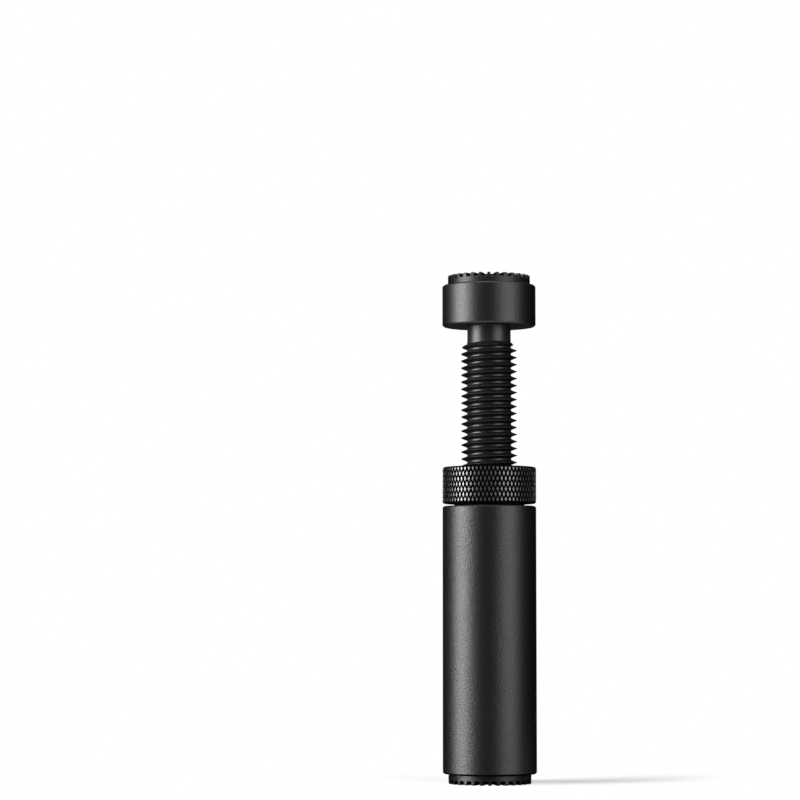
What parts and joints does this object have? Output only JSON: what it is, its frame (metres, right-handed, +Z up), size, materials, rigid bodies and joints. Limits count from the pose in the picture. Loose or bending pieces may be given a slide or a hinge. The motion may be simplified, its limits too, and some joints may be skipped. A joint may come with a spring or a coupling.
{
  "type": "graphics card support bracket",
  "caption": "Round height-adjustable post that props up a graphics card: a knurled ring on a base tube lifts a threaded screw with a padded head, over a ribbed anti-slip foot.",
  "frame": {"origin": "on the floor under the axis, at the middle of the foot pad's tread", "axes": "+Z up the common axis of tube, ring and screw; the outline is round, so +X and +Y have no face of their own"},
  "size_m": [0.02, 0.02, 0.1084],
  "materials": {
    "anodised_black": "bead-blasted and black anodised, satin",
    "magnet_nickel": "nickel plated",
    "pad_rubber": "matt moulded"
  },
  "bodies": {
    "base": {"base_tube": "anodised_black", "base_magnet": "magnet_nickel", "foot_pad": "pad_rubber"},
    "ring": {"adjusting_ring": "anodised_black"},
    "screw": {"lift_screw": "anodised_black", "top_pad": "pad_rubber"}
  },
  "joints": [
    {"name": "screw_lift", "type": "slide", "parent": "base", "child": "screw", "axis": [0, 0, 1], "range_m": [-0.03, 0.0045]},
    {"name": "ring_turn", "type": "hinge", "parent": "base", "child": "ring", "pos_m": [0, 0, 0.06335], "axis": [0, 0, 1], "range_deg": [-1100, 7220]}
  ],
  "couplings": [
    {"joint": "ring_turn", "follows": "screw_lift", "rad_per_m": -4188.8}
  ]
}
